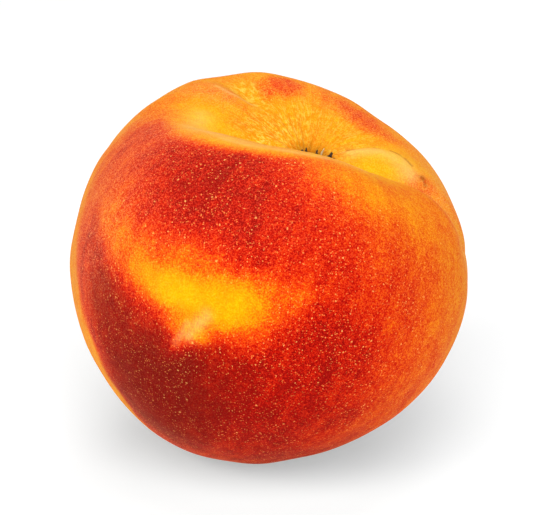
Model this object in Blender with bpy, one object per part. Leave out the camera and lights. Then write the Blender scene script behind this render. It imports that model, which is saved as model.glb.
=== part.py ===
"""A whole ripe yellow peach, lying a little over on its base. Metres, +Z up.

The fruit is one piece, as it grew: two lobes meeting in a suture, a deep
stem cavity on top, and a blossom end underneath. It is described as a
distance from its middle, in a frame whose pole is the stem axis. Azimuth 0
is the front, and azimuth grows towards the fruit's right.
"""

import math

import bmesh
import bpy
import numpy as np

RADIUS = 0.0385
LEAN = math.radians(22.0)
MERIDIANS = 72
PARALLELS = 44

# The foot is the small flat the ripe fruit settles on.
FOOT_CUT = 0.0016

# Flattening from stem to blossom end, as a share of the radius.
FLATTENING = 0.075

# The stem cavity: depth as a share of the radius, half-width in degrees. The
# throat is the narrow pit in the middle of it, where the stalk was.
CAVITY_DEPTH = 0.41
CAVITY_WIDTH = 42.5
CAVITY_SIDEWAYS = 1.2
CAVITY_STEEPNESS = 2.4
THROAT_DEPTH = 0.11
THROAT_WIDTH = 19.0

# Furrows run out of the cavity: azimuth, depth and half-width as shares of
# the radius, then the polar angles, in degrees, where each begins, is full,
# fades and ends.
FURROWS = (
    ("suture", 82, 0.095, 0.15, 8, 44, 45, 82),
    ("suture seam", 94, 0.022, 0.05, 34, 56, 140, 176),
    ("back fold", -138, 0.085, 0.11, 8, 38, 40, 64),
    ("left trough", -82, 0.090, 0.17, 8, 40, 42, 62),
)

# Swellings of the flesh: azimuth, polar angle, half-width in degrees, height.
SWELLINGS = (
    ("front shoulder", 10, 45, 26, 0.075),
    ("front left shoulder", -45, 45, 24, -0.025),
    ("left shoulder", -95, 45, 28, -0.065),
    ("back left shoulder", -145, 45, 24, 0.045),
    ("back shoulder", 170, 42, 26, 0.045),
    ("back right shoulder", 125, 45, 24, 0.045),
    ("front right shoulder", 55, 45, 22, 0.015),
    ("suture lip", 66, 50, 16, 0.045),
    ("suture flank", 104, 36, 11, 0.045),
    ("right cheek", 90, 90, 40, -0.065),
    ("left cheek", -90, 90, 40, -0.120),
    ("lower left", -100, 135, 35, 0.030),
    ("lower right", 100, 135, 35, 0.045),
    ("lower front", 0, 135, 34, 0.035),
    ("lower back", 180, 135, 34, 0.050),
    ("blossom end", 90, 180, 32, 0.150),
)


def smoothStep(value, low, high):
    share = np.clip((value - low) / (high - low), 0.0, 1.0)
    return share * share * (3.0 - 2.0 * share)


def towards(azimuth, polar):
    """Unit vectors at an azimuth and a polar angle, both in radians."""
    across = np.sin(polar)
    return np.stack([across * np.sin(azimuth), -across * np.cos(azimuth), np.cos(polar)], -1)


def swell(directions, azimuth, polar, width, height):
    centre = towards(math.radians(azimuth), math.radians(polar))
    apart = np.degrees(np.arccos(np.clip(directions @ centre, -1.0, 1.0)))
    return height * np.exp(-((apart / width) ** 2))


def furrow(azimuth, polar, row):
    _, middle, depth, width, starts, full, fades, ends = row
    turned = azimuth - math.radians(middle)
    degrees = np.degrees(polar)
    along = smoothStep(degrees, starts, full) * (1.0 - smoothStep(degrees, fades, ends))
    near = smoothStep(np.cos(turned), 0.0, 0.5)
    aside = np.abs(np.sin(polar) * np.sin(turned)) / width
    return depth * along * near * np.exp(-(aside**2))


def reach(azimuth, polar):
    """Distance from the middle to the skin, as a share of the radius."""
    directions = towards(azimuth, polar)
    rise = directions[..., 2]
    found = 1.0 - FLATTENING * 0.5 * (3.0 * rise**2 - 1.0)
    for _, *row in SWELLINGS:
        found = found + swell(directions, *row)
    for row in FURROWS:
        found = found - furrow(azimuth, polar, row)
    width = CAVITY_WIDTH * (1.0 + (CAVITY_SIDEWAYS - 1.0) * np.sin(azimuth) ** 2)
    degrees = np.degrees(polar)
    bowl = CAVITY_DEPTH / (1.0 + (degrees / width) ** (2.0 * CAVITY_STEEPNESS))
    throat = THROAT_DEPTH * np.exp(-((degrees / THROAT_WIDTH) ** 2))
    return found - bowl - throat


def leaned(points):
    """The stem axis turned towards the fruit's right."""
    turn = np.array([
        [math.cos(LEAN), 0.0, math.sin(LEAN)],
        [0.0, 1.0, 0.0],
        [-math.sin(LEAN), 0.0, math.cos(LEAN)],
    ])
    return points @ turn.T


def skinPoints(azimuth, polar):
    directions = towards(azimuth, polar)
    return leaned(directions * (RADIUS * reach(azimuth, polar))[..., None])


def shapedSphere():
    body = bmesh.new()
    bmesh.ops.create_uvsphere(body, u_segments=MERIDIANS, v_segments=PARALLELS, radius=1.0)
    start = np.array([v.co[:] for v in body.verts])
    polar = np.arccos(np.clip(start[:, 2], -1.0, 1.0))
    azimuth = np.arctan2(start[:, 0], -start[:, 1])
    for vertex, point in zip(body.verts, skinPoints(azimuth, polar)):
        vertex.co = point
    return body


def cutFoot(body):
    """Cuts the flat the fruit rests on, and stands its middle on the origin."""
    floor = min(v.co.z for v in body.verts) + FOOT_CUT
    found = bmesh.ops.bisect_plane(
        body,
        geom=body.verts[:] + body.edges[:] + body.faces[:],
        plane_co=(0.0, 0.0, floor),
        plane_no=(0.0, 0.0, -1.0),
        clear_outer=True,
    )
    rim = [part for part in found["geom_cut"] if isinstance(part, bmesh.types.BMEdge)]
    bmesh.ops.contextual_create(body, geom=rim)
    foot = min(body.faces, key=lambda face: face.calc_center_median().z)
    middle = foot.calc_center_median_weighted()
    bmesh.ops.translate(body, verts=body.verts, vec=(-middle.x, -middle.y, -floor))


def skinMaterial():
    material = bpy.data.materials.new("skin")
    material.use_nodes = True
    shader = material.node_tree.nodes["Principled BSDF"]
    shader.inputs["Base Color"].default_value = (0.62, 0.13, 0.02, 1.0)
    shader.inputs["Roughness"].default_value = 0.62
    shader.inputs["Metallic"].default_value = 0.0
    return material


def clearScene():
    for thing in list(bpy.data.objects):
        bpy.data.objects.remove(thing)


def makePeach():
    body = shapedSphere()
    cutFoot(body)
    bmesh.ops.recalc_face_normals(body, faces=body.faces)
    mesh = bpy.data.meshes.new("peach")
    body.to_mesh(mesh)
    body.free()
    mesh.polygons.foreach_set("use_smooth", [True] * len(mesh.polygons))
    mesh.materials.append(skinMaterial())
    peach = bpy.data.objects.new("peach", mesh)
    group = bpy.data.collections.new("Peach")
    bpy.context.scene.collection.children.link(group)
    group.objects.link(peach)


clearScene()
makePeach()
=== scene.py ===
import math

import bmesh
import bpy
import numpy as np
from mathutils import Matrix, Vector


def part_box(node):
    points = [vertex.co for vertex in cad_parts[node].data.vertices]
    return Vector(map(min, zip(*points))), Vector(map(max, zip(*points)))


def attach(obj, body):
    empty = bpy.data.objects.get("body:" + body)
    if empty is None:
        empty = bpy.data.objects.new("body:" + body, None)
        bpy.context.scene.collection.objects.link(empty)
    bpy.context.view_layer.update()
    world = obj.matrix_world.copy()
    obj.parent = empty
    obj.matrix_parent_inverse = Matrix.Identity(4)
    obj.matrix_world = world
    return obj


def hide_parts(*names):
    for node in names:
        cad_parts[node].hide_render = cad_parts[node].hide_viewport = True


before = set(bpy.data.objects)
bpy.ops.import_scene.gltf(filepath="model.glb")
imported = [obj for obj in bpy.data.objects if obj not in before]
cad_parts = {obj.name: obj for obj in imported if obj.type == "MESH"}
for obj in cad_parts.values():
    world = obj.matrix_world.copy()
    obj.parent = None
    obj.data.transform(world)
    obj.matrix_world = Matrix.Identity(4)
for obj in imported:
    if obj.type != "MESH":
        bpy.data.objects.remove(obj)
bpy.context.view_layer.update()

print("peach: the packed solid is loaded")

# The fruit is described round its stem axis. Azimuth 0 is the front and grows
# to the fruit's right, and polar angles are counted from the stem end, both in
# degrees. Depths and heights are shares of the radius, which is in metres.
fruitShape = {
    "radius": 0.0385,
    "lean": 22.0,  # to the right
    "flattening": 0.075,  # along the stem axis
    "cavityDepth": 0.41,
    "cavityWidth": 42.5,
    "cavitySideways": 1.2,  # how much wider it is across than from front to back
    "cavitySteepness": 2.4,
    "throatDepth": 0.11,
    "throatWidth": 19.0,
    # azimuth, depth, half-width, then the polar angles where it begins, is full, fades and ends
    "furrows": {
        "suture": (82, 0.095, 0.15, 8, 44, 45, 82),
        "sutureSeam": (94, 0.022, 0.05, 34, 56, 140, 176),
        "backFold": (-138, 0.085, 0.11, 30, 45, 45, 64),
        "leftTrough": (-82, 0.090, 0.17, 8, 40, 42, 62),
    },
    # azimuth, polar angle, half-width, height
    "swellings": {
        "frontShoulder": (10, 45, 26, 0.075),
        "frontLeftShoulder": (-45, 45, 24, -0.025),
        "leftShoulder": (-95, 45, 28, -0.065),
        "backLeftShoulder": (-145, 45, 24, 0.045),
        "backShoulder": (170, 42, 26, 0.045),
        "backRightShoulder": (125, 45, 24, 0.045),
        "frontRightShoulder": (55, 45, 22, 0.015),
        "sutureLip": (66, 50, 16, 0.045),
        "sutureFlank": (104, 36, 11, 0.045),
        "rightCheek": (90, 90, 40, -0.065),
        "leftCheek": (-90, 90, 40, -0.120),
        "lowerLeft": (-100, 135, 35, 0.030),
        "lowerRight": (100, 135, 35, 0.045),
        "lowerFront": (0, 135, 34, 0.035),
        "lowerBack": (180, 135, 34, 0.050),
        "blossomEnd": (90, 180, 32, 0.150),
    },
}


def smoothStep(value, low, high):
    share = np.clip((value - low) / (high - low), 0.0, 1.0)
    return share * share * (3.0 - 2.0 * share)


def towards(azimuth, polar):
    # unit vectors from angles in degrees
    around, fromStem = np.radians(azimuth), np.radians(polar)
    across = np.sin(fromStem)
    return np.stack([across * np.sin(around), -across * np.cos(around), np.cos(fromStem)], -1)


def degreesApart(directions, azimuth, polar):
    return np.degrees(np.arccos(np.clip(directions @ towards(azimuth, polar), -1.0, 1.0)))


def furrow(azimuth, polar, row):
    centre, depth, width, starts, full, fades, ends = row
    turned = np.radians(azimuth - centre)
    along = smoothStep(polar, starts, full) * (1.0 - smoothStep(polar, fades, ends))
    near = smoothStep(np.cos(turned), 0.0, 0.5)  # on its own side of the stem only
    aside = np.abs(np.sin(np.radians(polar)) * np.sin(turned)) / width
    return depth * along * near * np.exp(-(aside**2))


def reach(azimuth, polar):
    # from the fruit's middle to its skin, as a share of the radius
    shape = fruitShape
    directions = towards(azimuth, polar)
    upward = directions[..., 2]  # along the stem axis
    found = 1.0 - shape["flattening"] * (1.5 * upward**2 - 0.5)
    for swellAzimuth, swellPolar, width, height in shape["swellings"].values():
        apart = degreesApart(directions, swellAzimuth, swellPolar)
        found = found + height * np.exp(-((apart / width) ** 2))
    for row in shape["furrows"].values():
        found = found - furrow(azimuth, polar, row)
    sideways = 1.0 + (shape["cavitySideways"] - 1.0) * np.sin(np.radians(azimuth)) ** 2
    bowl = (polar / (shape["cavityWidth"] * sideways)) ** (2.0 * shape["cavitySteepness"])
    throat = np.exp(-((polar / shape["throatWidth"]) ** 2))
    return found - shape["cavityDepth"] / (1.0 + bowl) - shape["throatDepth"] * throat


# The fine mesh and its relief. Heights are in metres.
skinRelief = {
    "meridians": 440,
    "parallels": 218,
    "stemCrowding": 0.38,  # how much finer the rings lie round the stem, 0 to 1
    "lowest": 0.0004,  # the foot is eased out at this height over the floor
    "ripple": 0.00007,
    "rippleSeed": 7,
    "rippleWaves": 26,
    "rippleRates": (9.0, 30.0),  # least and most, in radians per radius
    "wrinkle": 0.00022,
    "wrinkleCount": 26,
    "wrinkleWander": (2.2, 5.0),  # how far they bunch up, and at how many places round
    "wrinkleFades": (5.0, 13.0, 20.0, 40.0),  # polar angles: begin, full, fade, end
    "throat": (8.0, 19.0),  # painted shade in the throat, a brownish ring round the scar: full, then gone
    # route through azimuth and polar pairs, half-width in degrees, height
    "lines": {
        "sutureCrease": (
            [(128, 19), (125, 25), (121, 31), (114, 37), (104, 42), (97, 47), (94, 56)],
            1.0, -0.00018,
        ),
        "sutureLip": ([(116, 24), (112, 31), (103, 38), (95, 45)], 3.2, 0.00016),
        "backFoldCrease": ([(-138, 43), (-141, 50)], 2.0, -0.00015),
    },
}


def lineDistance(directions, route):
    # degrees from the nearest point of a smooth line through the route
    azimuths, polars = np.array(route, float).T
    steps = np.linspace(0.0, len(route) - 1.0, 5 * len(route))  # five or so to a stretch
    stations = np.arange(len(route))
    dots = towards(np.interp(steps, stations, azimuths), np.interp(steps, stations, polars))
    nearest = np.full(directions.shape[:-1], 360.0)
    for start, end in zip(dots[:-1], dots[1:]):
        run = end - start
        share = np.clip((directions - start) @ run / max(run @ run, 1e-12), 0.0, 1.0)
        gap = directions - (start + share[..., None] * run)
        nearest = np.minimum(nearest, np.degrees(np.linalg.norm(gap, axis=-1)))
    return nearest


def ripples(directions):
    # slow unevenness of grown flesh, as a sum of slanting waves
    picker = np.random.default_rng(skinRelief["rippleSeed"])
    total = np.zeros(directions.shape[:-1])
    for _ in range(skinRelief["rippleWaves"]):
        wave = picker.normal(size=3)
        wave *= picker.uniform(*skinRelief["rippleRates"]) / np.linalg.norm(wave)
        total += np.sin(directions @ wave + picker.uniform(0.0, 6.28))
    return total / 3.0  # a spread of about 1


def relief(azimuth, polar):
    directions = towards(azimuth, polar)
    height = skinRelief["ripple"] * ripples(directions)
    bunching, bunches = skinRelief["wrinkleWander"]
    wander = bunching * np.sin(np.radians(azimuth) * bunches)
    radial = np.sin(np.radians(azimuth) * skinRelief["wrinkleCount"] + wander)
    begin, full, fade, end = skinRelief["wrinkleFades"]
    inside = smoothStep(polar, begin, full) * (1.0 - smoothStep(polar, fade, end))
    height = height + skinRelief["wrinkle"] * radial * inside
    for route, width, lift in skinRelief["lines"].values():
        height = height + lift * np.exp(-((lineDistance(directions, route) / width) ** 2))
    return height


def leaned(points):
    # from the fruit's own axes to the frame's
    turn = math.radians(fruitShape["lean"])
    matrix = np.array([
        [math.cos(turn), 0.0, math.sin(turn)],
        [0.0, 1.0, 0.0],
        [-math.sin(turn), 0.0, math.cos(turn)],
    ])
    return points @ matrix.T


def skinPoints(azimuth, polar, lift=0.0):
    distance = fruitShape["radius"] * reach(azimuth, polar) + lift
    return leaned(towards(azimuth, polar) * distance[..., None])


def fruitMiddle():
    # where the fruit's middle lies in the frame, found by matching the solid's box
    azimuth, polar = np.meshgrid(np.arange(0.0, 360.0, 2.5), np.linspace(0.0, 180.0, 89))
    points = skinPoints(azimuth, polar).reshape(-1, 3)
    low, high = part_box("peach")
    found = (np.array(low) + np.array(high)) / 2.0 - (points.min(0) + points.max(0)) / 2.0
    found[2] = high.z - points[:, 2].max()  # by its top, since the foot is cut flat
    return found


middle = fruitMiddle()

# Colour laid on the skin. Tone runs from 0, bare yellow, to 1, crimson.
# Patch: azimuth, polar, half-width, half-height, turn, crispness, tone, strength.
# Border: side, tone, softness, strength, then its polar angle by azimuth.
# Late patches are laid over the borders.
blush = {
    "ground": 0.20,
    "patches": {
        "backCheek": (140, 100, 50, 34, 0, 1.2, 0.42, 0.8),
        "backBlush": (178, 66, 34, 13, 0, 1.2, 0.44, 0.7),
        "backBlushLow": (-156, 104, 26, 24, 12, 1.2, 0.42, 0.7),
        "backBlushEnd": (160, 138, 40, 16, 0, 1.3, 0.38, 0.7),
        "blushedCheek": (-16, 96, 88, 76, 0, 2.4, 0.52, 1.0),
        "redFront": (-14, 96, 54, 56, 0, 2.0, 0.72, 0.95),
        "rightGold": (64, 52, 24, 13, 0, 1.2, 0.36, 0.9),
        "rightGoldLow": (80, 90, 14, 36, 0, 1.4, 0.26, 0.85),
        "topOrange": (-3, 45, 6, 8, 0, 1.4, 0.56, 0.7),
        "topGold": (14, 47, 13, 10, 10, 1.4, 0.22, 0.9),
        "topGoldRight": (38, 53, 15, 8, 14, 1.4, 0.30, 0.8),
        "leftShoulder": (-77, 71, 16, 12, 0, 1.5, 0.70, 0.85),
        "leftShoulderPale": (-112, 66, 12, 9, 0, 1.4, 0.32, 0.85),
        "upperRed": (-32, 67, 29, 17, -4, 1.8, 0.88, 0.88),
        "upperHeart": (-30, 62, 16, 12, 0, 1.4, 0.96, 0.5),
        "leftOrange": (-60, 84, 16, 8, 16, 1.4, 0.54, 0.6),
        "crimsonRight": (12, 98, 18, 26, 0, 1.4, 0.92, 0.85),
        "crimsonBelly": (-8, 120, 34, 20, 0, 1.6, 0.96, 0.95),
        "leftFlank": (-58, 104, 10, 10, 0, 1.6, 0.82, 0.7),
        "lowerRed": (-6, 144, 50, 20, 0, 1.4, 0.84, 0.8),
        "leafShadeLeft": (-46, 92, 17, 6.0, 8, 1.5, 0.38, 0.9),
        "leafShadeTop": (-24, 87, 20, 6.0, -4, 1.2, 0.42, 0.7),
        "leafShadeRight": (-1, 85, 9, 5, -30, 1.3, 0.46, 0.7),
        "leafShadeFringe": (-2, 91, 12, 5, -62, 1.2, 0.46, 0.7),
        "leafShade": (-23, 94, 15, 5.6, -6, 1.6, 0.05, 1.0),
        "leafShadeEnd": (-12, 91, 9, 6.5, -32, 1.6, 0.08, 0.95),
        "leafShadeFoot": (-18, 101, 6, 4, 0, 1.6, 0.16, 0.9),
    },
    "borders": {
        "bareLeft": ("beyond", 0.18, 7.0, 0.92, {
            -180: 60, -120: 64, -105: 75, -90: 89, -80: 99, -70: 110, -60: 123, -50: 137, -40: 153,
            -20: 176, 0: 190, 40: 190, 60: 150, 80: 130, 120: 100, 150: 80, 180: 60,
        }),
        "goldCap": ("within", 0.14, 4.0, 0.95, {
            -180: 33, -150: 36, -125: 50, -100: 60, -80: 60, -60: 60, -50: 57, -40: 54, -30: 51,
            -20: 49, -10: 44, 0: 40, 15: 43, 30: 43, 50: 41, 70: 40, 90: 42, 110: 46, 140: 40, 180: 33,
        }),
        "deepGold": ("within", 0.24, 6.0, 0.7, {
            -180: 26, -120: 30, -80: 30, 0: 24, 90: 18, 130: 26, 180: 26,
        }),
    },
    "late": {
        "backLobeRed": (-156, 40.5, 9, 5.5, 0, 1.8, 0.62, 0.9),
        "backLobeRight": (151, 39, 16, 5.5, -6, 1.5, 0.52, 0.85),
        "backValley": (-139, 45, 9, 4, 96, 1.6, 0.10, 0.9),
        "leftRidge": (-122, 53, 7, 12, 0, 1.5, 0.36, 0.8),
        "leftTrough": (-92, 50, 12, 5.5, 0, 1.2, 0.06, 0.9),
        "facetFloor": (98, 33, 11, 9, 0, 1.6, 0.08, 0.9),
        "facetEdge": (94, 49, 5, 6, 0, 1.5, 0.48, 0.8),
        "leftWall": (-112, 36, 10, 6, 0, 1.3, 0.28, 0.7),
        "scuff": (-17.5, 100, 7.0, 2.2, 105, 1.7, 0.24, 0.85),
        "scuffSide": (-22, 102.5, 3.4, 2.4, 0, 1.3, 0.52, 0.6),
        "scuffTip": (-20.5, 107, 3.2, 1.2, 108, 1.5, 0.52, 0.6),
    },
}

# How far the red is darkened towards maroon, with the same kinds of patches. The underside, the right
# flank and the lower right are darkened as painted shade.
maroonAndShade = {
    "ground": 0.0,
    "patches": {
        # painted shade under the fruit
        "underside": (14, 156, 70, 26, 0, 1.5, 0.32, 0.9),
        "belly": (-20, 128, 23, 27, 0, 2.6, 0.95, 1.0),
        "bellyTop": (-3, 109, 10, 9, 0, 1.5, 0.66, 0.8),
        "leftFlank": (-46, 110, 12, 13, -30, 1.8, 0.80, 0.95),
        "leftFlankTop": (-60, 98, 8, 9, -30, 1.4, 0.45, 0.9),
        "bellyRight": (20, 124, 17, 22, 0, 1.8, 0.26, 0.8),
        # painted shade on the right flank and the lower right
        "rightFlankShade": (40, 116, 28, 28, 0, 1.3, 0.44, 0.85),
        "lowRightShade": (52, 144, 34, 24, 0, 1.6, 0.62, 0.8),
        "upperHeart": (-32, 64, 24, 16, 0, 1.4, 0.17, 0.9),
        "leafShade": (-26, 93, 28, 9, -4, 2.0, 0.0, 1.0),
        "scuff": (-18.5, 102, 9, 3.6, 105, 1.4, 0.0, 0.9),
    },
}

# How thickly the pale down lies; on the left side and at the limbs it is laid on thicker as a painted
# sheen.
downAndSheenCover = {
    "ground": 0.25,
    "patches": {
        # laid on thicker on the left side and at the limbs as a painted sheen
        "leftSide": (-70, 95, 24, 42, 0, 1.5, 0.92, 0.9),
        "leftShoulder": (-74, 64, 34, 18, 0, 1.3, 0.90, 0.8),
        "leftRidge": (-122, 54, 9, 13, 0, 1.5, 0.95, 0.9),
        "leftLimb": (-106, 86, 15, 16, 0, 1.5, 1.2, 0.9),
        "rightSide": (86, 90, 16, 36, 0, 1.3, 1.1, 0.9),
        "backLobe": (170, 47, 60, 14, 0, 1.5, 0.70, 0.8),
        # painted sheen at the back right limb
        "backRight": (116, 60, 22, 16, 0, 1.3, 1.2, 0.9),
        "heart": (4, 98, 44, 46, 0, 1.8, 0.04, 0.95),
        "upperRed": (-32, 66, 26, 16, 0, 1.5, 0.14, 0.9),
        "belly": (-34, 128, 22, 30, 0, 1.6, 0.16, 0.9),
        "lowFront": (6, 136, 40, 20, 0, 1.6, 0.06, 0.9),
        "underside": (10, 170, 80, 17, 0, 1.6, 0.70, 0.9),
        "leftTrough": (-92, 50, 12, 6, 0, 1.3, 0.1, 0.9),
    },
}

# Where the down stands in yellow tufts: in the cavity and the fold behind it.
tufted = {
    "ground": 0.0,
    "patches": {"backValley": (-139, 45, 11, 5, 96, 1.6, 1.0, 0.95)},
    "borders": {
        "cavity": ("within", 1.0, 9.0, 1.0, {
            -180: 32, -150: 33, -120: 36, -98: 39, -80: 38, -50: 35, 0: 33,
            60: 33, 85: 20, 115: 22, 135: 32, 180: 32,
        }),
    },
    "late": {"smoothWall": (160, 20, 12, 10, 0, 1.5, 0.25, 0.9)},
}

# Thin marks: route, half-width in degrees, strength. The pale lines round the cavity's rim and on the
# left ridge are painted highlights where the surface turns.
marksAndHighlights = {
    "brown": {
        "sutureCrease": ([(126, 23), (121, 31), (114, 37), (104, 42)], 0.7, 0.55),
        "sutureEnd": ([(99.5, 46.8), (97, 48.6)], 1.1, 0.85),
    },
    "scuffAndHighlight": {
        "scuff": ([(-15.5, 96), (-18, 103)], 1.5, 0.28),
        "scuffSide": ([(-19, 100), (-20, 105)], 0.8, 0.22),
        "scuffTip": ([(-19.5, 104), (-20.5, 107)], 0.8, 0.12),
        "sutureCrest": ([(118, 23), (113, 31), (104, 38), (97, 43)], 3.4, 0.32),
        # painted highlight along the cavity's front rim
        "rimCrestHighlight": (
            [(-75, 54), (-59, 51.5), (-45, 49.5), (-33, 47), (-22, 44.2), (-11, 42), (0, 40)],
            1.4, 0.34,
        ),
        # painted highlights on the left ridge and round the rim
        "ridgeCrestHighlight": ([(-127, 51), (-125.5, 46.5), (-130, 43), (-136, 41)], 1.3, 0.30),
        "troughFootHighlight": ([(-98, 51.5), (-88, 53), (-78, 53)], 3.4, 0.22),
        "leftRimHighlight": ([(-78, 54.5), (-68, 53), (-60, 50), (-45, 47), (-30, 44)], 4.0, 0.28),
        "frontRimHighlight": ([(-30, 44), (-15, 41), (0, 38), (20, 38)], 3.4, 0.18),
    },
}


def patchCover(directions, azimuth, polar, halfWidth, halfHeight, turn, crispness):
    # 1 in the middle of an oval patch, falling to 0 round it
    right = towards(azimuth + 90.0, 90.0)
    downward = towards(azimuth, polar + 90.0)
    apart = degreesApart(directions, azimuth, polar)
    aside, below = directions @ right, directions @ downward
    size = np.maximum(np.hypot(aside, below), 1e-9)
    aside, below = apart * aside / size, apart * below / size
    cosTurn, sinTurn = math.cos(math.radians(turn)), math.sin(math.radians(turn))
    along = (aside * cosTurn + below * sinTurn) / halfWidth
    athwart = (below * cosTurn - aside * sinTurn) / halfHeight
    return np.exp(-((along**2 + athwart**2) ** crispness))


def paintPatches(azimuth, polar, tone, patches):
    directions = towards(azimuth, polar)
    for *oval, target, strength in patches.values():
        cover = strength * patchCover(directions, *oval)
        tone = tone + (target - tone) * cover
    return tone


def paintSkin(azimuth, polar, paint):
    tone = paintPatches(azimuth, polar, np.full(polar.shape, paint["ground"]), paint["patches"])
    for side, target, softness, strength, border in paint.get("borders", {}).values():
        edge = np.interp(azimuth, list(border.keys()), list(border.values()))
        beyond = smoothStep(polar - edge, -softness, softness)
        cover = strength * (beyond if side == "beyond" else 1.0 - beyond)
        tone = tone + (target - tone) * cover
    return paintPatches(azimuth, polar, tone, paint.get("late", {}))


def paintMarks(directions, marks):
    cover = np.zeros(directions.shape[:-1])
    for route, width, strength in marks.values():
        cover = np.maximum(cover, strength * np.exp(-((lineDistance(directions, route) / width) ** 2)))
    return cover


def addMesh(name, body):
    mesh = bpy.data.meshes.new(name)
    body.to_mesh(mesh)
    body.free()
    mesh.polygons.foreach_set("use_smooth", [True] * len(mesh.polygons))
    piece = bpy.data.objects.new(name, mesh)
    bpy.context.scene.collection.objects.link(piece)
    return piece


def storeFloats(mesh, name, values):
    layer = mesh.attributes.new(name, "FLOAT", "POINT")
    layer.data.foreach_set("value", np.ascontiguousarray(values, np.float32).ravel())


def storeVectors(mesh, name, values):
    layer = mesh.attributes.new(name, "FLOAT_VECTOR", "POINT")
    layer.data.foreach_set("vector", np.ascontiguousarray(values, np.float32).ravel())


def makeSkin():
    body = bmesh.new()
    bmesh.ops.create_uvsphere(
        body, u_segments=skinRelief["meridians"], v_segments=skinRelief["parallels"], radius=1.0
    )
    skin = addMesh("peachSkin", body)
    points = np.empty(len(skin.data.vertices) * 3)
    skin.data.vertices.foreach_get("co", points)
    start = points.reshape(-1, 3)
    polar = np.degrees(np.arccos(np.clip(start[:, 2], -1.0, 1.0)))
    crowding = skinRelief["stemCrowding"]
    polar = 180.0 * ((1.0 - crowding) * polar / 180.0 + crowding * (polar / 180.0) ** 2)
    azimuth = np.degrees(np.arctan2(start[:, 0], -start[:, 1]))
    points = skinPoints(azimuth, polar, relief(azimuth, polar)) + middle
    lowest, height = skinRelief["lowest"], points[:, 2]
    points[:, 2] = np.where(height < lowest, lowest * np.exp(height / lowest - 1.0), height)
    skin.data.vertices.foreach_set("co", points.ravel())
    directions = towards(azimuth, polar)
    storeFloats(skin.data, "tone", paintSkin(azimuth, polar, blush))
    # darkened towards maroon, with painted shade under the fruit and on the lower right
    storeFloats(skin.data, "depth", paintSkin(azimuth, polar, maroonAndShade))
    # the pale down, laid thicker at the limbs as a painted sheen
    storeFloats(skin.data, "downAndSheen", paintSkin(azimuth, polar, downAndSheenCover))
    storeFloats(skin.data, "brownMark", paintMarks(directions, marksAndHighlights["brown"]))
    # pale scuffs, and painted highlights round the rim and on the left ridge
    storeFloats(skin.data, "scuffAndHighlightMark", paintMarks(directions, marksAndHighlights["scuffAndHighlight"]))
    storeFloats(skin.data, "tufted", paintSkin(azimuth, polar, tufted))
    # painted shade in the throat round the scar
    storeFloats(skin.data, "throat", 1.0 - smoothStep(polar, *skinRelief["throat"]))
    # round the stem as a cosine and a sine, so that no seam shows at the back,
    # and along it in radians
    around, along = np.radians(azimuth), polar / 57.3
    storeVectors(skin.data, "meridian", np.stack([np.cos(around), np.sin(around), along], -1))
    return skin


class NodeBench:
    # short ways to add shader nodes to one material
    def __init__(self, name):
        self.material = bpy.data.materials.new(name)
        self.material.use_nodes = True
        self.tree = self.material.node_tree
        self.shader = self.tree.nodes["Principled BSDF"]

    def put(self, socket, value):
        if isinstance(value, bpy.types.NodeSocket):
            self.tree.links.new(value, socket)
        else:
            socket.default_value = value

    def add(self, kind, settings=None, inputs=None):
        node = self.tree.nodes.new(kind)
        for name, value in (settings or {}).items():
            setattr(node, name, value)
        for name, value in (inputs or {}).items():
            self.put(node.inputs[name], value)
        return node

    def attribute(self, name, output="Fac"):
        return self.add("ShaderNodeAttribute", {"attribute_name": name}).outputs[output]

    def maths(self, operation, *values):
        node = self.add("ShaderNodeMath", {"operation": operation})
        for socket, value in zip(node.inputs, values):
            self.put(socket, value)
        return node.outputs[0]

    def plus(self, first, second):
        return self.maths("ADD", first, second)

    def times(self, first, second):
        return self.maths("MULTIPLY", first, second)

    def timesPlus(self, first, second, third):
        return self.maths("MULTIPLY_ADD", first, second, third)

    def noise(self, vector, scale, detail, roughness):
        inputs = {"Vector": vector, "Scale": scale, "Detail": detail, "Roughness": roughness}
        return self.add("ShaderNodeTexNoise", None, inputs).outputs["Fac"]

    def swing(self, value, amount):
        # a noise turned into a signed change
        return self.times(self.maths("SUBTRACT", value, 0.5), amount)

    def mapRange(self, value, low, high, toLow=0.0, toHigh=1.0):
        inputs = {"Value": value, "From Min": low, "From Max": high, "To Min": toLow, "To Max": toHigh}
        settings = {"interpolation_type": "SMOOTHSTEP"}
        return self.add("ShaderNodeMapRange", settings, inputs).outputs["Result"]

    def ramp(self, value, stops):
        node = self.add("ShaderNodeValToRGB", None, {"Fac": value})
        ramp = node.color_ramp
        ramp.interpolation = "EASE"
        while len(ramp.elements) < len(stops):
            ramp.elements.new(0.5)
        for element, (place, colour) in zip(ramp.elements, sorted(stops)):
            element.position = place
            element.color = (*asLinear(colour), 1.0)
        return node.outputs["Color"]

    def mix(self, amount, colour, other):
        # the other colour over the first, in this amount
        node = self.add("ShaderNodeMix", {"data_type": "RGBA"})
        factor, first, second = node.inputs[0], node.inputs[6], node.inputs[7]
        self.put(factor, amount)
        self.put(first, colour)
        self.put(second, (*asLinear(other), 1.0))
        return node.outputs[2]

    def bump(self, height, strength, distance):
        inputs = {"Height": height, "Strength": strength, "Distance": distance}
        return self.add("ShaderNodeBump", None, inputs).outputs["Normal"]


def asLinear(colour):
    # a colour written as red, green, blue in hexadecimal
    parts = [int(colour[k : k + 2], 16) / 255.0 for k in (0, 2, 4)]
    return [p / 12.92 if p <= 0.04045 else ((p + 0.055) / 1.055) ** 2.4 for p in parts]


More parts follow.
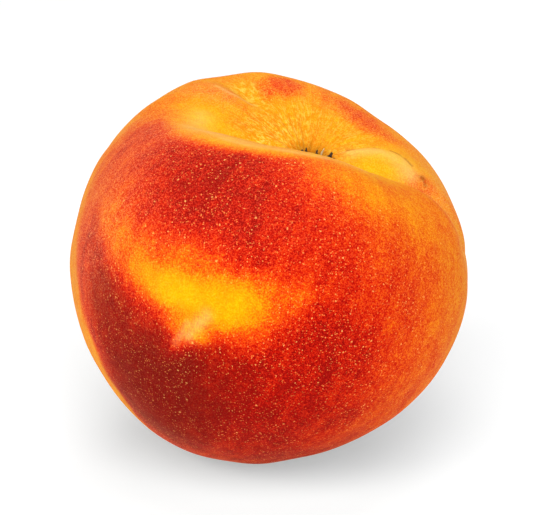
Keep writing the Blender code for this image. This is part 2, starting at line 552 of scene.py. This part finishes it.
skinFinish = {
    "tones": [
        (0.00, "FFBC00"), (0.15, "FCA400"), (0.30, "F88E02"), (0.45, "F36F04"),
        (0.58, "EC4C05"), (0.70, "E03006"), (0.82, "CC1803"), (0.92, "B40A03"), (1.00, "9A0604"),
    ],
    # the maroon the red darkens to, which also gives the painted shade
    "maroonAndShade": "780602",
    "paleSpeck": "FFC26C",
    "fineSpeck": "FFA050",
    "downAndSheen": "F0B088",
    "brown": "A04C10",
    # the pale of the scuffs and of the painted rim highlights
    "scuffAndHighlight": "FFE08C",
    # the pale of the down, which at the limbs is also painted sheen
    "tuft": "FFDA5E",
    "tuftGap": "EC8406",
    # the brown of the painted shade in the throat
    "throat": "A85A06",
    "roughness": 0.62,
    "specular": 0.01,
    "sheen": 0.10,
    "sheenRoughness": 0.26,
    "sheenTint": "FFBE94",
}

# The grain of the skin. A row that maps a value holds the two values it runs
# between, then what they become, or else they become 0 and 1.
skinGrain = {
    # scale, detail, roughness
    "noises": {
        "cloud": (110.0, 3.0, 0.5),
        "mottle": (420.0, 2.0, 0.5),
        "clump": (800.0, 3.0, 0.65),
        "crumb": (1700.0, 1.0, 0.5),
        "grain": (3900.0, 1.0, 0.5),
    },
    # drawn out along the meridians: stretch, then scale, detail, roughness
    "drawnOut": {
        "streak": ((9.0, 9.0, 1.1), 1.6, 4.0, 0.6),
        "tuft": ((19.0, 19.0, 11.0), 2.4, 3.0, 0.6),
    },
    # dots of bare skin: scale, share of the cells that hold one, size
    "bigDots": (760.0, 0.35, 0.155),
    "midDots": (1500.0, 0.60, 0.23),
    "fineDots": (3300.0, 0.42, 0.44),
    "midDotsShare": 0.85,
    "dotEdge": (0.6, 1.2, 1.0, 0.0),
    "dotRaggedness": (1500.0, 0.0005),  # scale, then how far in metres
    "dotCrowding": (0.35, 0.62, 0.45, 1.0),
    "dotsByTone": (0.15, 0.70, 0.20, 1.0),
    "dotsByDepth": (0.0, 1.0, 0.80, 0.60),
    "fineDotsShare": 0.80,
    # how far each shifts the tone or the depth
    "toneSwings": {"cloud": 0.26, "mottle": 0.28, "crumb": 0.34, "streak": 0.34},
    "depthSwings": {"mottle": 0.24, "grain": 0.40, "cloud": 0.22},
    "hairsShift": -0.20,
    "dotsShift": -0.30,
    "fineDotsShift": -0.20,
    "toneShift": 0.125,
    "calmByTone": (0.0, 0.28, 0.45, 1.0),  # bare yellow skin is the evenest
    "depthRange": (0.18, 1.05, 0.0, 0.88),
    # the down, laid on thicker at the limbs as a painted sheen
    "hairs": (0.36, 0.64),
    "hairTips": (0.46, 0.64),
    "tipsShare": 0.8,  # the rest lies evenly
    "downAndSheenAmount": 0.36,
    "mostDownAndSheen": 0.75,
    # the tufts, and the dark gaps between them
    "gapRange": (0.56, 0.40),
    "gapAmount": 0.55,
    "tuftRange": (0.51, 0.62),
    "tuftClumping": 0.35,
    "tuftAmount": 0.58,
    # the painted shade in the throat, then the marks and painted highlights, which the mottle breaks
    # up
    "throatShadeAmount": 0.7,
    "scuffAndHighlightBreaks": (0.25, 0.6, 0.55, 1.0),
    "brownBreaks": (0.35, 0.6),
    # the surface
    "roughnessSwing": 0.16,
    "crumbHeight": 1.2,
    "bumpStrength": 0.35,
    "bumpDistance": 0.0001,
}


def speckles(bench, place, scale, share, size):
    # round dots of mixed sizes, in a share of the cells
    cells = bench.add("ShaderNodeTexVoronoi", {"feature": "F1"}, {"Vector": place, "Scale": scale})
    colours = bench.add("ShaderNodeSeparateColor", None, {"Color": cells.outputs["Color"]})
    radius = bench.mapRange(colours.outputs["Red"], 1.0 - share, 1.0, 0.0, size)
    radius = bench.plus(radius, 0.001)  # never quite 0
    outside = bench.maths("DIVIDE", cells.outputs["Distance"], radius)
    return bench.mapRange(outside, *skinGrain["dotEdge"])


def raggedPlace(bench, place):
    # places nudged by a noise, so that the dots aren't quite round
    scale, distance = skinGrain["dotRaggedness"]
    nudge = bench.add("ShaderNodeTexNoise", None, {"Vector": place, "Scale": scale, "Detail": 1.0})
    inputs = {0: nudge.outputs["Color"], 1: (distance, distance, distance), 2: place}
    return bench.add("ShaderNodeVectorMath", {"operation": "MULTIPLY_ADD"}, inputs).outputs[0]


def skinMaterial():
    bench = NodeBench("fuzzySkin")
    grain, finish = skinGrain, skinFinish
    place = bench.add("ShaderNodeTexCoord").outputs["Object"]
    meridian = bench.attribute("meridian", "Vector")
    noise = {name: bench.noise(place, *row) for name, row in grain["noises"].items()}
    for name, (stretch, *row) in grain["drawnOut"].items():
        drawn = bench.add("ShaderNodeMapping", None, {"Vector": meridian, "Scale": stretch})
        noise[name] = bench.noise(drawn.outputs["Vector"], *row)
    hairs = bench.mapRange(noise["grain"], *grain["hairs"])
    hairTips = bench.mapRange(noise["grain"], *grain["hairTips"])

    ragged = raggedPlace(bench, place)
    midDots = bench.times(speckles(bench, ragged, *grain["midDots"]), grain["midDotsShare"])
    dots = bench.maths("MAXIMUM", speckles(bench, ragged, *grain["bigDots"]), midDots)
    crowding = bench.mapRange(noise["cloud"], *grain["dotCrowding"])
    dots = bench.times(dots, crowding)
    fineDots = bench.times(speckles(bench, ragged, *grain["fineDots"]), crowding)

    # the painted tone, unsettled by noise, down and dots
    base = bench.attribute("tone")
    change = grain["toneShift"]
    for name, amount in grain["toneSwings"].items():
        change = bench.plus(change, bench.swing(noise[name], amount))
    for spots, shift in ((hairs, "hairsShift"), (dots, "dotsShift"), (fineDots, "fineDotsShift")):
        change = bench.timesPlus(spots, grain[shift], change)
    calm = bench.mapRange(base, *grain["calmByTone"])
    colour = bench.ramp(bench.timesPlus(change, calm, base), finish["tones"])

    # darkened towards maroon, with painted shade under the fruit and on the lower right
    depth = bench.attribute("depth")
    for name, amount in grain["depthSwings"].items():
        depth = bench.plus(depth, bench.swing(noise[name], amount))
    depth = bench.mapRange(depth, *grain["depthRange"])
    colour = bench.mix(depth, colour, finish["maroonAndShade"])

    showing = bench.mapRange(base, *grain["dotsByTone"])
    showing = bench.times(showing, bench.mapRange(depth, *grain["dotsByDepth"]))
    fineShowing = bench.times(bench.times(fineDots, showing), grain["fineDotsShare"])
    colour = bench.mix(fineShowing, colour, finish["fineSpeck"])
    colour = bench.mix(bench.times(dots, showing), colour, finish["paleSpeck"])

    # the pale down, laid thicker at the limbs as a painted sheen
    standing = bench.timesPlus(hairTips, grain["tipsShare"], 1.0 - grain["tipsShare"])
    lying = bench.times(bench.times(standing, bench.attribute("downAndSheen")), grain["downAndSheenAmount"])
    colour = bench.mix(bench.maths("MINIMUM", lying, grain["mostDownAndSheen"]), colour, finish["downAndSheen"])

    # dark gaps and pale tufts in the cavity
    hollow = bench.attribute("tufted")
    gaps = bench.times(bench.mapRange(noise["clump"], *grain["gapRange"]), hollow)
    colour = bench.mix(bench.times(gaps, grain["gapAmount"]), colour, finish["tuftGap"])
    tufts = bench.plus(noise["tuft"], bench.swing(noise["clump"], grain["tuftClumping"]))
    tufts = bench.times(bench.mapRange(tufts, *grain["tuftRange"]), hollow)
    colour = bench.mix(bench.times(tufts, grain["tuftAmount"]), colour, finish["tuft"])
    # painted shade in the throat round the scar
    throat = bench.times(bench.attribute("throat"), grain["throatShadeAmount"])
    colour = bench.mix(throat, colour, finish["throat"])

    # pale scuffs and painted highlights round the rim and on the ridge, then brown marks
    for tint in ("scuffAndHighlight", "brown"):
        breaks = bench.mapRange(noise["mottle"], *grain[tint + "Breaks"])
        cover = bench.times(bench.attribute(tint + "Mark"), breaks)
        colour = bench.mix(cover, colour, finish[tint])
    bench.put(bench.shader.inputs["Base Color"], colour)

    rough = bench.plus(bench.swing(noise["mottle"], grain["roughnessSwing"]), finish["roughness"])
    bench.put(bench.shader.inputs["Roughness"], rough)
    bench.shader.inputs["Specular IOR Level"].default_value = finish["specular"]
    bench.shader.inputs["Sheen Weight"].default_value = finish["sheen"]
    bench.shader.inputs["Sheen Roughness"].default_value = finish["sheenRoughness"]
    bench.shader.inputs["Sheen Tint"].default_value = (*asLinear(finish["sheenTint"]), 1.0)
    height = bench.timesPlus(noise["crumb"], grain["crumbHeight"], hairs)
    bump = bench.bump(height, grain["bumpStrength"], grain["bumpDistance"])
    bench.put(bench.shader.inputs["Normal"], bump)
    return bench.material


skin = makeSkin()
skin.data.materials.append(skinMaterial())
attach(skin, "root")
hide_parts("peach")
skin.visible_diffuse = False  # keeps its red glow off the floor
print("peach: skin made,", len(skin.data.polygons), "faces")

# The torn scar at the bottom of the cavity, where the stalk came away: a
# crumpled pad with many short shreds and a few long ones. Lengths are in metres.
stemScar = {
    "azimuth": 95.0,
    "polar": 6.0,
    "radius": 0.0036,
    "thickness": 0.0008,
    "padSegments": (36, 18),
    "edgeWaves": ((3, 0.14, 1.0), (8, 0.07, 0.0)),  # how many round the edge, depth, phase
    "crumple": 0.00012,
    "crumpleRates": (40, 37),  # across, then along
    "hollow": 0.0004,
    "shredCount": 26,
    "shredPlaces": (0.3, 0.95),  # shares of the radius
    "shredLength": 0.0010,
    "shredLengths": (0.45, 1.15),
    "shredWidth": 0.00042,
    "shredWidths": (0.6, 1.2),
    "shredPaleness": (0.0, 0.35),
    "shredSegments": (6, 9),
    "shredTaper": (1.15, 0.5),  # girth at its foot and its tip, as shares of the width
    "shredFlatness": 0.7,
    "shredsLifted": 0.0001,
    "splay": 0.5,  # how far the shreds lean outwards
    "disorder": 0.28,  # and how far any way at all
    "bend": 0.12,  # share of a shred's length
    "roughness": 0.14,  # share of its width
    "seed": 11,
    # azimuth, polar, length, width, lean to the right, paleness
    "longShreds": {
        "rightStub": (112, 12, 0.0018, 0.00060, 0.05, 0.0),
        "rightStubSide": (104, 13, 0.0013, 0.00050, 0.35, 0.0),
        "paleFibre": (131, 10, 0.0024, 0.00026, -0.30, 1.0),
        "middleStub": (145, 8, 0.0018, 0.00046, -0.10, 0.1),
        "leftStub": (-172, 8, 0.0017, 0.00036, -0.25, 0.2),
    },
    "longShredsSunk": 0.0003,
}


def tornShred(body, root, direction, length, width, picker):
    # one torn fibre: a spindle drawn out along its direction and bent on its way up
    across, along = stemScar["shredSegments"]
    foot, tip = stemScar["shredTaper"]
    spindle = bmesh.ops.create_uvsphere(body, u_segments=across, v_segments=along, radius=1.0)
    upright = direction.to_track_quat("Z", "Y").to_matrix()
    bend = Vector(picker.normal(size=3)) * length * stemScar["bend"]
    for vertex in spindle["verts"]:
        x, y, z = vertex.co
        share = (z + 1.0) / 2.0
        girth = width * (foot + (tip - foot) * share)
        rough = Vector(picker.normal(size=3)) * width * stemScar["roughness"]
        moved = upright @ Vector((x * girth, y * girth * stemScar["shredFlatness"], share * length))
        vertex.co = root + moved + bend * share * share + rough
    return spindle["verts"]


def onSkin(azimuth, polar):
    return Vector(skinPoints(np.array([azimuth]), np.array([polar]))[0] + middle)


def makePad(body, pole, upright):
    across, along = stemScar["padSegments"]
    xRate, yRate = stemScar["crumpleRates"]
    pad = bmesh.ops.create_uvsphere(body, u_segments=across, v_segments=along, radius=1.0)
    for vertex in pad["verts"]:
        x, y, z = vertex.co
        around = math.atan2(y, x)
        spread = 1.0
        for count, depth, phase in stemScar["edgeWaves"]:
            spread += depth * math.sin(count * around + phase)
        spread *= stemScar["radius"]
        crumple = stemScar["crumple"] * math.sin(xRate * x) * math.cos(yRate * y)
        hollow = stemScar["hollow"] * (1.0 - min(1.0, math.hypot(x, y)))
        height = z * stemScar["thickness"] + crumple - hollow
        vertex.co = pole + upright @ Vector((x * spread, y * spread, height))


def makeScar():
    picker = np.random.default_rng(stemScar["seed"])
    axis = Vector(leaned(np.array([0.0, 0.0, 1.0])))
    pole = onSkin(stemScar["azimuth"], stemScar["polar"])
    upright = axis.to_track_quat("Z", "Y").to_matrix()
    body = bmesh.new()
    paleness = body.verts.layers.float.new("paleness")
    makePad(body, pole, upright)
    for _ in range(stemScar["shredCount"]):
        around = picker.uniform(0.0, math.tau)
        out = stemScar["radius"] * picker.uniform(*stemScar["shredPlaces"])
        aside, ahead = math.cos(around), math.sin(around)
        root = pole + upright @ Vector((out * aside, out * ahead, stemScar["shredsLifted"]))
        splayed = upright @ Vector((aside * stemScar["splay"], ahead * stemScar["splay"], 1.0))
        direction = (splayed + Vector(picker.normal(size=3)) * stemScar["disorder"]).normalized()
        length = stemScar["shredLength"] * picker.uniform(*stemScar["shredLengths"])
        width = stemScar["shredWidth"] * picker.uniform(*stemScar["shredWidths"])
        shred = tornShred(body, root, direction, length, width, picker)
        shade = picker.uniform(*stemScar["shredPaleness"])
        for vertex in shred:
            vertex[paleness] = shade
    for azimuth, polar, length, width, lean, shade in stemScar["longShreds"].values():
        root = onSkin(azimuth, polar) - axis * stemScar["longShredsSunk"]
        direction = (axis + Vector((lean, 0.0, 0.0))).normalized()
        for vertex in tornShred(body, root, direction, length, width, picker):
            vertex[paleness] = shade
    bmesh.ops.recalc_face_normals(body, faces=body.faces)
    return addMesh("stemScar", body)


scarFinish = {
    "tones": [(0.0, "140A05"), (0.38, "2C180B"), (0.58, "5E3818"), (0.80, "B07C42"), (1.0, "E8C58A")],
    # scale, detail, roughness
    "fibres": (1900.0, 4.0, 0.7),
    "blotch": (700.0, 3.0, 0.6),
    "fibreSwing": 0.9,
    "paleLift": 0.7,
    "darkened": 0.12,
    "roughness": 0.75,
    "roughnessSwing": 0.3,
    "bumpStrength": 0.8,
    "bumpDistance": 0.0003,
}


def scarMaterial():
    bench = NodeBench("tornBark")
    place = bench.add("ShaderNodeTexCoord").outputs["Object"]
    fibres = bench.noise(place, *scarFinish["fibres"])
    blotch = bench.noise(place, *scarFinish["blotch"])
    tone = bench.plus(bench.swing(fibres, scarFinish["fibreSwing"]), blotch)
    tone = bench.maths("SUBTRACT", tone, scarFinish["darkened"])
    tone = bench.timesPlus(bench.attribute("paleness"), scarFinish["paleLift"], tone)
    bench.put(bench.shader.inputs["Base Color"], bench.ramp(tone, scarFinish["tones"]))
    rough = bench.plus(bench.swing(fibres, scarFinish["roughnessSwing"]), scarFinish["roughness"])
    bench.put(bench.shader.inputs["Roughness"], rough)
    bump = bench.bump(fibres, scarFinish["bumpStrength"], scarFinish["bumpDistance"])
    bench.put(bench.shader.inputs["Normal"], bump)
    return bench.material


scar = makeScar()
scar.data.materials.append(scarMaterial())
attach(scar, "root")
print("peach: stem scar made")

studio = {
    "floorSize": 3.0,
    "floorColour": (0.84, 0.84, 0.84),
    "floorGlow": (0.25, 0.25, 0.25),
    "floorRoughness": 0.9,
    "floorSpecular": 0.1,
    "world": 0.08,
    # place, height it is aimed at, size, power, colour
    "lights": {
        "frontTop": ((0.0, -0.78, 0.82), 0.03, 0.80, 8.2, "FFFFFF"),
        "keyLeft": ((-0.85, -0.55, 0.60), 0.03, 0.60, 4.5, "FFFAF4"),
        "fillRight": ((0.90, -0.40, 0.50), 0.03, 0.70, 1.9, "FFFFFF"),
        "overhead": ((0.0, 0.15, 1.10), 0.03, 0.80, 3.6, "FFFFFF"),
        "backRim": ((0.30, 0.75, 0.70), 0.03, 0.60, 2.4, "FFFFFF"),
    },
}


def makeFloor():
    body = bmesh.new()
    bmesh.ops.create_grid(body, x_segments=2, y_segments=2, size=studio["floorSize"])
    floor = addMesh("floor", body)
    bench = NodeBench("paleFloor")
    bench.shader.inputs["Base Color"].default_value = (*studio["floorColour"], 1.0)
    bench.shader.inputs["Roughness"].default_value = studio["floorRoughness"]
    bench.shader.inputs["Specular IOR Level"].default_value = studio["floorSpecular"]
    bench.shader.inputs["Emission Color"].default_value = (*studio["floorGlow"], 1.0)
    bench.shader.inputs["Emission Strength"].default_value = 1.0
    floor.data.materials.append(bench.material)


def makeLights():
    for name, (spot, aimHeight, size, power, colour) in studio["lights"].items():
        light = bpy.data.lights.new(name, "AREA")
        light.shape = "DISK"
        light.size = size
        light.energy = power
        light.color = asLinear(colour)
        lamp = bpy.data.objects.new(name, light)
        lamp.location = spot
        fromAim = Vector(spot) - Vector((0.0, 0.0, aimHeight))
        lamp.rotation_euler = fromAim.to_track_quat("Z", "Y").to_euler()
        bpy.context.scene.collection.objects.link(lamp)
    world = bpy.data.worlds.new("paleRoom")
    world.use_nodes = True
    background = world.node_tree.nodes["Background"]
    background.inputs["Strength"].default_value = studio["world"]
    background.inputs["Color"].default_value = (1.0, 1.0, 1.0, 1.0)
    bpy.context.scene.world = world
    bpy.context.scene.view_settings.view_transform = "Standard"


# The camera looks along +Y and a little down, from beyond arm's length.
cameraSetup = {
    "elevation": 20.0,
    "distance": 0.462,
    "lens": 172.6,
    "sensorWidth": 36.0,
    "aimRight": -0.0013,  # from the fruit's middle
    "aimUp": -0.0032,
}


def makeCamera():
    tilt = math.radians(cameraSetup["elevation"])
    back = Vector((0.0, -math.cos(tilt), math.sin(tilt)))
    up = Vector((0.0, math.sin(tilt), math.cos(tilt)))
    centre = Vector(middle)
    aim = centre + Vector((cameraSetup["aimRight"], 0.0, 0.0)) + up * cameraSetup["aimUp"]
    lens = bpy.data.cameras.new("camera")
    lens.lens = cameraSetup["lens"]
    lens.sensor_width = cameraSetup["sensorWidth"]
    lens.clip_start = 0.01
    holder = bpy.data.objects.new("camera", lens)
    holder.location = aim + back * cameraSetup["distance"]
    holder.rotation_euler = back.to_track_quat("Z", "Y").to_euler()
    bpy.context.scene.collection.objects.link(holder)
    bpy.context.scene.camera = holder


makeFloor()
makeLights()
makeCamera()
print("peach: floor, lights and camera set")
